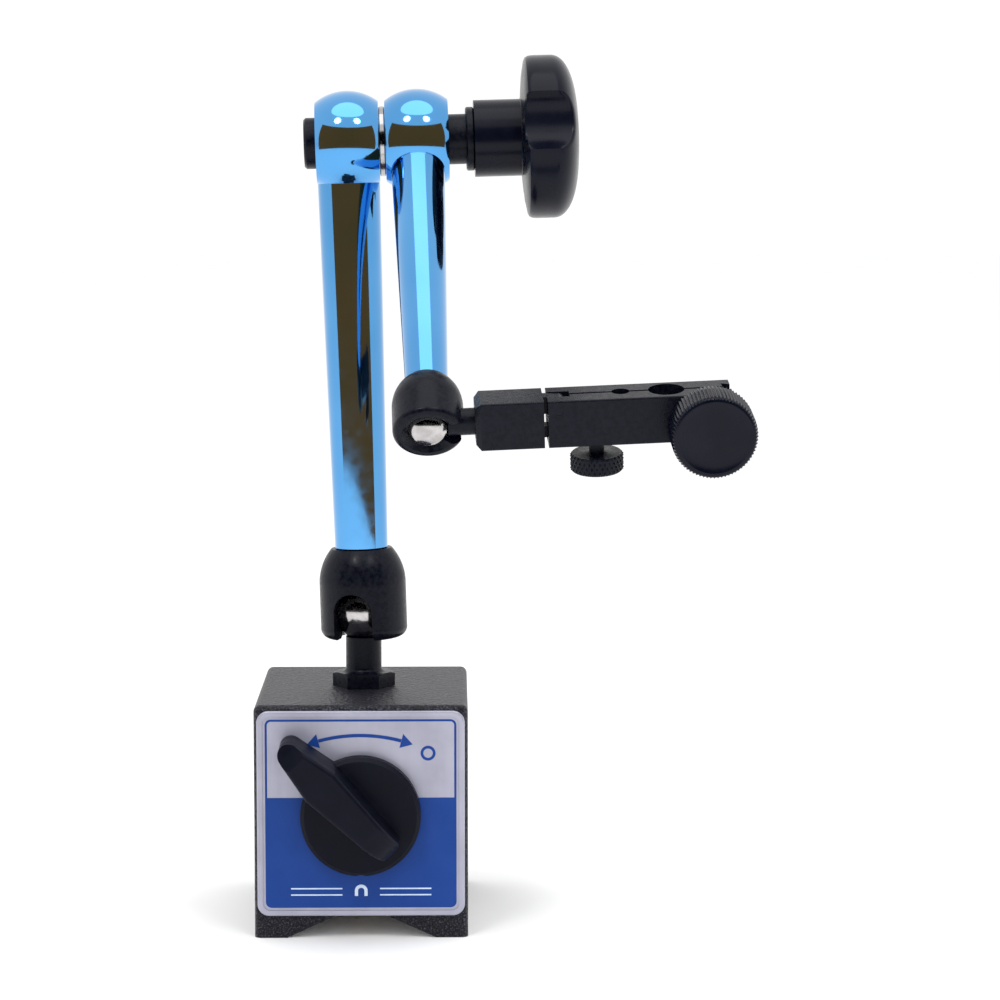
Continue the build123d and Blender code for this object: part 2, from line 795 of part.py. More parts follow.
with BuildPart() as root_block:
    slab(stem_axis, SECTION, SECTION, ROOT_START, ROOT_END)
    chamfer(root_block.faces().sort_by(Axis(upper_ball_centre, stem_dir))[0].edges(), 1.2)
    fillet(root_block.edges().filter_by(Axis(upper_ball_centre, stem_dir)), 0.4)
    round_bar(stem_axis, 2.02, ROOT_START - 1, ROOT_START + 6.1, Mode.SUBTRACT)
    lug_frame = clamp_cross(0, 0).offset(-LUG_W / 2)
    extrude(
        outline(
            lug_frame,
            [
                (ROOT_END - 1, -1.4),
                (ROOT_END - 1, -half),
                (PIVOT_X, -half + 0.2),
                ((PIVOT_X + 2.0, -PIVOT_Z), (PIVOT_X, -1.4)),
            ],
            [
                (ROOT_END - 1, 1.4),
                (TONGUE_END, 1.4),
                (TONGUE_END, TONGUE_LOW),
                (PIVOT_X + 2.6, TONGUE_LOW),
                (PIVOT_X + 1.6, 4.0),
                (ROOT_END - 1, 4.0),
            ],
        ),
        amount=LUG_W,
    )
    round_bar(clamp_cross(PIVOT_X, PIVOT_Z), PIVOT_R + RUN, -3, 3, Mode.SUBTRACT)
save(root_block, "root_block")

with BuildPart() as pivot_pin:
    round_bar(clamp_cross(PIVOT_X, PIVOT_Z), PIVOT_R, -half + 0.1, half - 0.1)
save(pivot_pin, "pivot_pin")

with BuildPart() as clamp_block:
    slab(stem_axis, SECTION, SECTION, CLAMP_START, CLAMP_END)
    long_edges = clamp_block.edges().filter_by(Axis(upper_ball_centre, stem_dir))
    fillet(long_edges, 0.4)
    extrude(
        outline(
            clamp_cross(0, 0).offset(-LUG_W / 2 - 0.3),
            [
                (CLAMP_START - 1, -half - 1),
                (PIVOT_X + 2.6, -half - 1),
                (PIVOT_X + 2.6, 0.1),
                (TONGUE_END + 0.7, 0.1),
                (TONGUE_END + 0.7, TONGUE_LOW + 0.8),
                (PIVOT_X + 3.4, TONGUE_LOW + 0.8),
                (PIVOT_X + 2.4, half - 0.45),
                (CLAMP_START - 1, half - 0.45),
            ],
        ),
        amount=LUG_W + 0.6, mode=Mode.SUBTRACT,
    )
    round_bar(clamp_cross(PIVOT_X, PIVOT_Z), PIVOT_R + 0.01, -half - 1, half + 1, Mode.SUBTRACT)
    with BuildSketch(clamp_upright(0).offset(-half - 1)):
        with Locations(((CLAMP_END + TONGUE_END + 1.4) / 2 + 1, 0)):
            Rectangle(CLAMP_END - TONGUE_END + 0.6, SLIT_W)
    extrude(amount=SECTION + 2, mode=Mode.SUBTRACT)
    with BuildSketch(clamp_upright(0)):
        with Locations((PIVOT_X + 7, 0)):
            Rectangle(14, SLIT_W)
    extrude(amount=SECTION, mode=Mode.SUBTRACT)
    round_bar(clamp_upright(SMALL_HOLE_X), SMALL_HOLE_R, -half - 1, half + 1, Mode.SUBTRACT)
    round_bar(clamp_upright(LARGE_HOLE_X), LARGE_HOLE_R, -half - 1, half + 1, Mode.SUBTRACT)
    round_bar(clamp_upright(THUMB_X), 2.0 + RUN, -half - 1, -1, Mode.SUBTRACT)
    round_bar(clamp_upright(THUMB_X), 1.3, -0.5, 3.0, Mode.SUBTRACT)
    round_bar(clamp_cross(SCREW_X, SCREW_Z), SCREW_R + 0.25, -half - 1, 0, Mode.SUBTRACT)
    round_bar(clamp_cross(SCREW_X, SCREW_Z), SCREW_R + RUN, 0, half + 1, Mode.SUBTRACT)
    extrude(
        outline(
            clamp_upright(0).offset(-half - 1),
            [
                (CLAMP_END + 1, -1.6),
                (CLAMP_END, -1.6),
                (CLAMP_END - 1.8, -2.6),
                (CLAMP_END - 1.8, 2.6),
                (CLAMP_END, 1.6),
                (CLAMP_END + 1, 1.6),
            ],
        ),
        amount=SECTION + 2, mode=Mode.SUBTRACT,
    )
save(clamp_block, "clamp_block")

spring_foot = clamp_upright(THUMB_X).offset(-1.13)
with BuildPart() as lever_spring:
    coil = spring_foot.location * Helix(pitch=0.78, height=3.9, radius=0.85)
    with BuildSketch(Plane(origin=coil @ 0, z_dir=coil % 0), mode=Mode.PRIVATE) as wire:
        Circle(0.2)
    sweep(wire.sketch, path=coil, is_frenet=True)
save(lever_spring, "lever_spring")

with BuildPart() as screw_tip:
    turned(
        clamp_upright(THUMB_X),
        [
            (0, -TONGUE_LOW - 0.03),
            ((0.75, -TONGUE_LOW - 0.13), (1.4, -TONGUE_LOW - 0.4)),
            (1.4, -TONGUE_LOW - 0.7),
            (0, -TONGUE_LOW - 0.7),
        ],
    )
save(screw_tip, "screw_tip")

wheel_low = -half - 7.1
with BuildPart() as thumb_screw:
    turned(
        clamp_upright(THUMB_X),
        [
            (0, -TONGUE_LOW - 0.73),
            (1.6, -TONGUE_LOW - 0.73),
            (2.0, -TONGUE_LOW - 1.1),
            (2.0, -half - 0.6),
            (1.7, -half - 0.9),
            (1.7, wheel_low + 4.0),
            (THUMB_R - 0.5, wheel_low + 4.0),
            (THUMB_R, wheel_low + 3.5),
            (THUMB_R, wheel_low + 0.5),
            (THUMB_R - 0.5, wheel_low),
            (0, wheel_low),
        ],
    )
save(thumb_screw, "thumb_screw")

knob_axis = Plane(origin=on_clamp(SCREW_X, SCREW_Z), x_dir=stem_dir, z_dir=clamp_back * -1)
with BuildPart() as clamp_washer:
    round_bar(knob_axis, 4.6, half + 0.04, half + 0.64)
    round_bar(knob_axis, SCREW_R + 0.3, half - 1, half + 2, Mode.SUBTRACT)
save(clamp_washer, "clamp_washer")

with BuildPart() as clamp_screw:
    turned(
        knob_axis,
        [
            (0, -half + 0.4),
            (SCREW_R - 0.6, -half + 0.4),
            (SCREW_R, -half + 1.0),
            (SCREW_R, half + 5.0),
            (0, half + 5.0),
        ],
    )
save(clamp_screw, "clamp_screw")

knob_face = half + 0.7 + CLAMP_KNOB_T
with BuildPart() as clamp_knob:
    turned(
        knob_axis,
        [
            (SCREW_R + 0.02, half + 0.68),
            (CLAMP_KNOB_R - 0.6, half + 0.68),
            (CLAMP_KNOB_R, half + 1.3),
            (CLAMP_KNOB_R, knob_face - 1.2),
            ((CLAMP_KNOB_R - 0.4, knob_face - 0.4), (CLAMP_KNOB_R - 1.3, knob_face)),
            (CLAMP_KNOB_R - 2.0, knob_face - 0.2),
            (0, knob_face - 0.5),
            (0, half + 5.02),
            (SCREW_R + 0.02, half + 5.02),
        ],
    )
save(clamp_knob, "clamp_knob")
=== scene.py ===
import json
import math

import bpy
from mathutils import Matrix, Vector


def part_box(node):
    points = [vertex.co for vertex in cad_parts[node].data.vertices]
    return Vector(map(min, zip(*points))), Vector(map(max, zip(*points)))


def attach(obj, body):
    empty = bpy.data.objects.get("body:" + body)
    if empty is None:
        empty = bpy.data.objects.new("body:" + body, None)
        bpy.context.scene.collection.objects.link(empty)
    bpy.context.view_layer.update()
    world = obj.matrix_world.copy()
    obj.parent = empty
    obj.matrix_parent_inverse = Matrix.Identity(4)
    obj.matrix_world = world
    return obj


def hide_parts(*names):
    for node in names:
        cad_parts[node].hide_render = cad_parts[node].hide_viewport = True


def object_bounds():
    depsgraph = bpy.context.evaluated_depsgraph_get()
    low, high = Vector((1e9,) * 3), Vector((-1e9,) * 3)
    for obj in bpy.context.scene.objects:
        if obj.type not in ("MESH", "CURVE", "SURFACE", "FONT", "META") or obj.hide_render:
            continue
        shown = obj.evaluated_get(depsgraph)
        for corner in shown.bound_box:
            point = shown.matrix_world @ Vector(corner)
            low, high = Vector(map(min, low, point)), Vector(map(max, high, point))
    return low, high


# Looks of a magnetic base with a centre-lock arm: finishes, the printed plate, knurled grips,
# a pale studio and the camera. Everything is in metres, in the CAD frame.

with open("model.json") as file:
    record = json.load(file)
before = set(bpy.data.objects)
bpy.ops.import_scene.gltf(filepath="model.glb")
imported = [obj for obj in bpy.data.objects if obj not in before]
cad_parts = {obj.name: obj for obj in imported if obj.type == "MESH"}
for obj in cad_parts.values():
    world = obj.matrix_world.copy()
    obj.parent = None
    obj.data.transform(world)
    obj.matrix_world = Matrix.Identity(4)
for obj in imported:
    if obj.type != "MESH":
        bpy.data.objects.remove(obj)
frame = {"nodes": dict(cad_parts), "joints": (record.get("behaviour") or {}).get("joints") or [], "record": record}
cad_low, cad_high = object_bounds()

MM = 0.001
NODES = frame["nodes"]
JOINTS = {joint["name"]: joint for joint in frame["joints"]}


# ---------------------------------------------------------------- node helpers


def new_material(name):
    """A node material with its tree and its Principled shader."""
    made = bpy.data.materials.new(name)
    made.use_nodes = True
    return made, made.node_tree, made.node_tree.nodes["Principled BSDF"]


def node(tree, kind, settings=None, **inputs):
    """Add a shader node, with its menu settings and the plain values of its inputs."""
    made = tree.nodes.new("ShaderNode" + kind)
    for key, value in (settings or {}).items():
        setattr(made, key, value)
    for key, value in inputs.items():
        made.inputs[key.replace("_", " ").title()].default_value = value
    return made


def stretched(tree, stretch):
    """Object coordinates, scaled per axis so that a pattern can run along a grain."""
    where = tree.nodes.new("ShaderNodeTexCoord")
    mapping = tree.nodes.new("ShaderNodeMapping")
    mapping.inputs["Scale"].default_value = stretch
    tree.links.new(where.outputs["Object"], mapping.inputs["Vector"])
    return mapping.outputs["Vector"]


def noise(tree, where, scale, detail=3.0, roughness=0.5):
    """A noise pattern, with features about 1/scale metres across."""
    made = node(tree, "TexNoise", scale=scale, detail=detail, roughness=roughness)
    tree.links.new(where, made.inputs["Vector"])
    return made.outputs["Fac"]


def ramp(tree, fac, low, high, start=0.35, end=0.65):
    """Turn a pattern into a colour between two ends."""
    made = tree.nodes.new("ShaderNodeValToRGB")
    made.color_ramp.elements[0].position = start
    made.color_ramp.elements[1].position = end
    made.color_ramp.elements[0].color = (*low, 1)
    made.color_ramp.elements[1].color = (*high, 1)
    tree.links.new(fac, made.inputs["Fac"])
    return made.outputs["Color"]


def spread(tree, fac, low, high):
    """Turn a pattern into a number between two ends."""
    made = node(tree, "MapRange", to_min=low, to_max=high)
    made.inputs["From Min"].default_value = 0.3
    made.inputs["From Max"].default_value = 0.7
    tree.links.new(fac, made.inputs["Value"])
    return made.outputs["Result"]


def bump(tree, fac, strength, depth):
    """A bump of a given depth in metres."""
    made = node(tree, "Bump", strength=strength, distance=depth)
    tree.links.new(fac, made.inputs["Height"])
    return made.outputs["Normal"]


def surface(
    name, low, high, metallic, rough,
    patch=220.0, grain=2600.0, depth=0.02, along=(1, 1, 1), flat=None,
):
    """A finish with patchy colour and gloss and a fine grain."""
    made, tree, shader = new_material(name)
    patches = noise(tree, stretched(tree, (1, 1, 1)), patch, detail=4.0)
    grains = noise(tree, stretched(tree, along), grain, detail=2.0)
    tree.links.new(ramp(tree, patches, low, high), shader.inputs["Base Color"])
    tree.links.new(spread(tree, patches, rough[0], rough[1]), shader.inputs["Roughness"])
    tree.links.new(bump(tree, grains, 0.5, depth * MM), shader.inputs["Normal"])
    shader.inputs["Metallic"].default_value = metallic
    for key, value in (flat or {}).items():
        shader.inputs[key].default_value = value
    return made


# ---------------------------------------------------------------- finishes


def wrinkle_paint():
    """Black wrinkle paint whose ridge sparkle is painted: pale lavender specks in its colour stand in for glints
    on the ridges; faces that look down are ground steel.
    """
    made, tree, shader = new_material("black_wrinkle_paint")
    where = stretched(tree, (1, 1, 1))
    cells = node(tree, "TexVoronoi", {"feature": "SMOOTH_F1"}, scale=950.0, smoothness=0.5)
    tree.links.new(where, cells.inputs["Vector"])
    fine = noise(tree, where, 2600.0, detail=3.0)
    height = node(tree, "Math", {"operation": "MULTIPLY_ADD"})
    tree.links.new(fine, height.inputs[0])
    height.inputs[1].default_value = 0.7
    tree.links.new(cells.outputs["Distance"], height.inputs[2])
    # painted glints: where the fine pattern rises, the colour turns pale lavender, standing in for the sparkle of
    # light on the wrinkle ridges
    painted_glint_specks = ramp(tree, fine, (0.003, 0.003, 0.006), (0.075, 0.07, 0.105), 0.52, 0.7)
    tree.links.new(painted_glint_specks, shader.inputs["Base Color"])
    tree.links.new(spread(tree, fine, 0.28, 0.5), shader.inputs["Roughness"])
    tree.links.new(bump(tree, height.outputs[0], 0.8, 0.42 * MM), shader.inputs["Normal"])
    shader.inputs["Specular IOR Level"].default_value = 0.28
    ground = tree.nodes.new("ShaderNodeBsdfPrincipled")
    lines = noise(tree, stretched(tree, (1, 0.02, 1)), 2400.0, detail=2.0)
    tree.links.new(ramp(tree, lines, (0.42, 0.42, 0.44), (0.62, 0.62, 0.64)), ground.inputs["Base Color"])
    tree.links.new(spread(tree, lines, 0.24, 0.4), ground.inputs["Roughness"])
    tree.links.new(bump(tree, lines, 0.3, 0.03 * MM), ground.inputs["Normal"])
    ground.inputs["Metallic"].default_value = 1.0
    facing = tree.nodes.new("ShaderNodeNewGeometry")
    split = tree.nodes.new("ShaderNodeSeparateXYZ")
    down = node(tree, "Math", {"operation": "LESS_THAN"})
    down.inputs[1].default_value = -0.5
    mix = tree.nodes.new("ShaderNodeMixShader")
    tree.links.new(facing.outputs["True Normal"], split.inputs["Vector"])
    tree.links.new(split.outputs["Z"], down.inputs[0])
    tree.links.new(down.outputs[0], mix.inputs["Fac"])
    tree.links.new(shader.outputs["BSDF"], mix.inputs[1])
    tree.links.new(ground.outputs["BSDF"], mix.inputs[2])
    tree.links.new(mix.outputs[0], tree.nodes["Material Output"].inputs["Surface"])
    return made


def blue_chrome():
    """Blue lacquer over bright plating: a clean tinted mirror with a faint orange peel."""
    made, tree, shader = new_material("blue_lacquered_chrome")
    where = stretched(tree, (1, 1, 1))
    clouds = noise(tree, where, 40.0, detail=2.0)
    peel = noise(tree, where, 420.0, detail=1.0)
    tree.links.new(ramp(tree, clouds, (0.075, 0.315, 0.66), (0.1, 0.36, 0.72)), shader.inputs["Base Color"])
    tree.links.new(spread(tree, peel, 0.05, 0.09), shader.inputs["Roughness"])
    tree.links.new(bump(tree, peel, 0.06, 0.01 * MM), shader.inputs["Normal"])
    shader.inputs["Metallic"].default_value = 1.0
    shader.inputs["Coat Weight"].default_value = 0.5
    shader.inputs["Coat Roughness"].default_value = 0.03
    return made


def printed_plate():
    """Lacquered aluminium sheet with a fine upright brushing."""
    made, tree, shader = new_material("lacquered_aluminium")
    lines = noise(tree, stretched(tree, (1, 1, 0.02)), 3200.0, detail=2.0)
    clouds = noise(tree, stretched(tree, (1, 1, 1)), 90.0)
    tree.links.new(ramp(tree, clouds, (0.34, 0.34, 0.43), (0.41, 0.41, 0.51)), shader.inputs["Base Color"])
    tree.links.new(spread(tree, lines, 0.3, 0.48), shader.inputs["Roughness"])
    tree.links.new(bump(tree, lines, 0.25, 0.02 * MM), shader.inputs["Normal"])
    shader.inputs["Metallic"].default_value = 0.35
    shader.inputs["Coat Weight"].default_value = 0.6
    shader.inputs["Coat Roughness"].default_value = 0.12
    return made


FINISHES = {
    "wrinkle_paint": wrinkle_paint(),
    "blue_chrome": blue_chrome(),
    "printed_plate": printed_plate(),
    "black_oxide": surface(
        "oiled_black_oxide", (0.002, 0.0025, 0.007), (0.006, 0.007, 0.013), 0.0, (0.22, 0.4),
        patch=900.0, grain=2400.0, depth=0.04, flat={"Specular IOR Level": 0.14},
    ),
    "black_plastic": surface(
        "moulded_black_plastic", (0.002, 0.0026, 0.008), (0.004, 0.005, 0.012), 0.0, (0.34, 0.5),
        patch=160.0, grain=2200.0, depth=0.03, flat={"Specular IOR Level": 0.12},
    ),
    "black_knob": surface(
        "semi_gloss_black_plastic", (0.002, 0.0026, 0.008), (0.004, 0.005, 0.012), 0.0, (0.18, 0.3),
        patch=120.0, grain=900.0, depth=0.02, flat={"Specular IOR Level": 0.16},
    ),
    "bright_steel": surface(
        "polished_steel", (0.40, 0.38, 0.38), (0.54, 0.52, 0.52), 1.0, (0.1, 0.2),
        patch=500.0, grain=2800.0, depth=0.02,
    ),
    "bare_steel": surface(
        "turned_steel", (0.45, 0.45, 0.46), (0.62, 0.62, 0.63), 1.0, (0.25, 0.42),
        patch=300.0, grain=2600.0, depth=0.03,
    ),
    "ground_brass": surface(
        "ground_brass", (0.62, 0.45, 0.20), (0.78, 0.60, 0.30), 1.0, (0.22, 0.42),
        patch=260.0, grain=2400.0, depth=0.03, along=(1, 0.03, 1),
    ),
    "magnet_ceramic": surface(
        "sintered_magnet", (0.02, 0.019, 0.02), (0.05, 0.046, 0.046), 0.0, (0.6, 0.85),
        patch=900.0, grain=1500.0, depth=0.06,
    ),
    "spring_wire": surface(
        "drawn_wire", (0.5, 0.5, 0.52), (0.66, 0.66, 0.68), 1.0, (0.18, 0.32),
        patch=700.0, grain=3000.0, depth=0.01,
    ),
}
BLUE_INK = surface(
    "blue_screen_ink", (0.008, 0.046, 0.24), (0.011, 0.052, 0.26), 0.0, (0.3, 0.42),
    patch=140.0, grain=2600.0, depth=0.01, flat={"Specular IOR Level": 0.15},
)
WHITE_INK = surface(
    "pale_screen_ink", (0.50, 0.62, 0.80), (0.62, 0.74, 0.90), 0.0, (0.35, 0.5),
    patch=300.0, grain=2600.0, depth=0.01, flat={"Coat Weight": 0.3},
)

SLOT_OF = {part["node"]: part["material_slot"] for part in frame["record"]["subparts"]}
for name, part in NODES.items():
    for place in part.material_slots:
        place.material = FINISHES[SLOT_OF[name]]


def piece(name, mesh, finish, body):
    """A new piece of the object, smooth-shaded up to a sharp edge, riding on a CAD body."""
    made = bpy.data.objects.new(name, mesh)
    bpy.context.scene.collection.objects.link(made)
    mesh.materials.append(finish)
    mesh.shade_smooth()
    mesh.set_sharp_from_angle(angle=math.radians(32))
    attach(made, body)
    return made


# ---------------------------------------------------------------- print on the plate

plate_low, plate_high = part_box("name_plate")
PLATE_MIDDLE = (plate_low + plate_high) / 2
PLATE_DISH = 0.3 * MM
INK = 0.04 * MM
FIELD = 22.3
LINE = 0.5
SPLIT = 3.8
CORNER = 1.4
HUB_HOLE = 3.6


def arc(across, up, radius, start, end, steps=16):
    """Points along an arc, in degrees from the right, anticlockwise for a rising angle."""
    turns = [math.radians(start + (end - start) * i / steps) for i in range(steps + 1)]
    return [(across + radius * math.cos(t), up + radius * math.sin(t)) for t in turns]


def rounded(left, low, right, high, low_corner, high_corner):
    """A rectangle whose lower and upper corners have their own radii."""
    points = arc(right - high_corner, high - high_corner, high_corner, 0, 90, 8)
    points += arc(left + high_corner, high - high_corner, high_corner, 90, 180, 8)
    points += arc(left + low_corner, low + low_corner, low_corner, 180, 270, 8)
    return points + arc(right - low_corner, low + low_corner, low_corner, 270, 360, 8)


def printed(name, loops, finish):
    """Ink on the plate: closed outlines in millimetres from its middle, where an inner one is a hole."""
    drawn = bpy.data.curves.new(name, "CURVE")
    drawn.dimensions = "2D"
    drawn.fill_mode = "BOTH"
    drawn.extrude = INK / 2
    for loop in loops:
        spline = drawn.splines.new("POLY")
        spline.points.add(len(loop) - 1)
        spline.use_cyclic_u = True
        for point, (across, up) in zip(spline.points, loop):
            point.co = (across * MM, up * MM, 0, 1)
    holder = bpy.data.objects.new(name, drawn)
    mesh = bpy.data.meshes.new_from_object(holder)
    bpy.data.objects.remove(holder)
    mesh.name = name
    front = plate_low.y + PLATE_DISH - INK / 2
    for vertex in mesh.vertices:
        across, up, out = vertex.co
        vertex.co = (PLATE_MIDDLE.x + across, front - out, PLATE_MIDDLE.z + up)
    return piece(name, mesh, finish, "base")


def double_arrow():
    """A curved arrow with a head at both ends, over the lever."""
    radius, middle, top = 36.8, -0.2, 18.5
    centre = top - radius
    tip, neck, half_line, half_head = 19.6, 15.2, 0.4, 1.7
    band = arc(middle, centre, radius + half_line, 90 - neck, 90 + neck, 24)
    band += arc(middle, centre, radius - half_line, 90 + neck, 90 - neck, 24)
    heads = []
    for side in (-1, 1):
        base = math.radians(90 + side * (neck + 0.05))
        end = math.radians(90 + side * tip)
        corners = [(radius + half_head, base), (radius, end), (radius - half_head, base)]
        heads.append([(middle + r * math.cos(t), centre + r * math.sin(t)) for r, t in corners])
    return [band, *heads]


def bar(across, up, width, height, turn):
    """A small rectangle turned about its own middle."""
    c, s = math.cos(math.radians(turn)), math.sin(math.radians(turn))
    corners = [
        (-width / 2, -height / 2),
        (width / 2, -height / 2),
        (width / 2, height / 2),
        (-width / 2, height / 2),
    ]
    return [(across + c * x - s * y, up + s * x + c * y) for x, y in corners]


def horseshoe(up):
    """A horseshoe magnet seen from its side, poles down."""
    outer, inner, legs = 1.5, 0.75, 1.2
    loop = [(outer, up - legs)] + arc(0, up, outer, 0, 180, 20) + [(-outer, up - legs)]
    return loop + [(-inner, up - legs)] + arc(0, up, inner, 180, 0, 16) + [(inner, up - legs)]


border = [
    rounded(-FIELD, -FIELD, FIELD, FIELD, CORNER, CORNER),
    rounded(-FIELD + LINE, -FIELD + LINE, FIELD - LINE, FIELD - LINE, CORNER - LINE, CORNER - LINE),
]
lower_field = [
    rounded(-FIELD + LINE, -FIELD + LINE, FIELD - LINE, SPLIT, CORNER - LINE, 0.01),
    arc(0, 0, HUB_HOLE, 0, 352.5, 47),
]
OFF_MARK = (15.7, 14.3)
off_ring = [arc(*OFF_MARK, radius, 0, 352.5, 47) for radius in (1.75, 1.1)]
on_bar = [bar(-OFF_MARK[0], OFF_MARK[1], 0.7, 3.4, 45)]
printed("plate_border_line", border, BLUE_INK)
printed("plate_lower_field", lower_field, BLUE_INK)
printed("plate_double_arrow", double_arrow(), BLUE_INK)
printed("plate_off_ring", off_ring, BLUE_INK)
printed("plate_on_bar", on_bar, BLUE_INK)

# The pale mark lies on the blue field, one more ink layer out.
MARK_UP = -18.3
RULE_ACROSS, RULE_LENGTH, RULE_HEIGHT = 10.4, 12.0, 0.32
rules = [
    bar(side * RULE_ACROSS, MARK_UP - 0.2 + row, RULE_LENGTH, RULE_HEIGHT, 0)
    for side in (-1, 1)
    for row in (-0.75, 0.75)
]
pale_mark = printed("plate_pale_mark", [horseshoe(MARK_UP), *rules], WHITE_INK)
for vertex in pale_mark.data.vertices:
    vertex.co.y -= INK


# ---------------------------------------------------------------- knurled grips


def across_axis(axis):
    """Two directions square to an axis and to each other."""
    first = axis.orthogonal().normalized()
    return first, axis.cross(first)


def span(name, origin, axis):
    """A turned CAD node's lowest and highest point along its axis, and its largest radius."""
    heights, radii = [], []
    for vertex in NODES[name].data.vertices:
        offset = vertex.co - origin
        height = offset.dot(axis)
        heights.append(height)
        radii.append((offset - axis * height).length)
    return min(heights), max(heights), max(radii)


def turned_mesh(name, origin, axis, rings, segments):
    """A turned mesh; each ring gives its height and its radius as a function of the turn."""
    first, second = across_axis(axis)
    points = []
    for height, radius_at in rings:
        for i in range(segments):
            turn = math.tau * i / segments
            out = first * math.cos(turn) + second * math.sin(turn)
            points.append(origin + axis * height + out * radius_at(turn))
    faces = []
    for ring in range(len(rings) - 1):
        for i in range(segments):
            a, b = ring * segments + i, ring * segments + (i + 1) % segments
            faces.append((a, b, b + segments, a + segments))
    faces.append(tuple(reversed(range(segments))))
    faces.append(tuple((len(rings) - 1) * segments + i for i in range(segments)))
    mesh = bpy.data.meshes.new(name)
    mesh.from_pydata(points, [], faces)
    mesh.validate()
    return mesh


def plain(radius):
    """A round ring."""
    return lambda turn: radius


def ridge(phase):
    """A sharp-topped wave from 0 in a groove to 1 on a ridge."""
    return 1 - abs(math.sin(phase / 2)) ** 0.8


def diamond_ring(radius, depth, count, twist):
    """A ring through a diamond knurl, at a given twist of its two crossing sets of grooves."""
    return lambda turn: radius - depth * (1 - min(ridge(count * turn + twist), ridge(count * turn - twist)))


def straight_ring(radius, depth, count):
    """A ring through a straight knurl."""
    return lambda turn: radius - depth * (1 - ridge(count * turn))


def axis_of(joint):
    """A joint's place and direction."""
    return Vector(JOINTS[joint]["pos_m"]), Vector(JOINTS[joint]["axis"]).normalized()


def thumb_wheel():
    """The adjuster's screw, with a diamond knurl round its wheel."""
    origin, axis = axis_of("thumb_turn")
    low, high, radius = span("thumb_screw", origin, axis)
    wheel, edge, shank, depth, count, rows = 4.0 * MM, 0.5 * MM, 1.7 * MM, 0.38 * MM, 30, 12
    rings = [(low, plain(radius - 2.4 * MM)), (low, plain(radius - edge))]
    for row in range(rows + 1):
        share = row / rows
        height = low + edge + (wheel - 2 * edge) * share
        rings.append((height, diamond_ring(radius, depth, count, share * math.tau * 1.5)))
    rings.append((low + wheel, plain(radius - edge)))
    rings.append((low + wheel, plain(shank + 1.2 * MM)))
    rings.append((low + wheel + 0.3 * MM, plain(shank)))
    screw_start = low + wheel + 2.2 * MM
    rings.append((screw_start, plain(shank)))
    rings.append((screw_start + 0.3 * MM, plain(2.0 * MM)))
    rings.append((high - 0.4 * MM, plain(2.0 * MM)))
    rings.append((high, plain(1.6 * MM)))
    mesh = turned_mesh("thumb_screw_knurled", origin, axis, rings, 360)
    made = piece("thumb_screw_knurled", mesh, FINISHES["black_oxide"], "thumb_screw")
    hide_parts("thumb_screw")


def clamp_grip():
    """The clamp's knob, straight-knurled round its rim and slightly dished on its face."""
    origin, axis = axis_of("jaw_turn")
    low, high, radius = span("clamp_knob", origin, axis)
    depth, count, screw = 0.34 * MM, 72, 2.52 * MM
    blind = high - 4.35 * MM
    rings = [
        (blind, plain(0.2 * MM)),
        (blind, plain(screw)),
        (low, plain(screw)),
        (low, plain(radius - 1.2 * MM)),
        (low + 0.15 * MM, plain(radius - 0.7 * MM)),
        (low + 0.6 * MM, straight_ring(radius, depth, count)),
        (high - 1.3 * MM, straight_ring(radius, depth, count)),
        (high - 0.8 * MM, straight_ring(radius - 0.1 * MM, depth * 0.8, count)),
        (high - 0.35 * MM, plain(radius - 0.55 * MM)),
        (high - 0.08 * MM, plain(radius - 0.95 * MM)),
        (high, plain(radius - 1.3 * MM)),
        (high - 0.06 * MM, plain(radius - 1.6 * MM)),
        (high - 0.25 * MM, plain(radius - 2.0 * MM)),
        (high - 0.4 * MM, plain(radius - 4.0 * MM)),
        (high - 0.5 * MM, plain(0.2 * MM)),
    ]
    mesh = turned_mesh("clamp_knob_knurled", origin, axis, rings, 576)
    made = piece("clamp_knob_knurled", mesh, FINISHES["black_knob"], "clamp_knob")
    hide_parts("clamp_knob")


LOBES = 3
FLUTE_AT = 78
HUB_LENGTH = 12.2
RIM_TOP = 6.2
DOME_RISE = 6.4
DOME_STEPS = 24


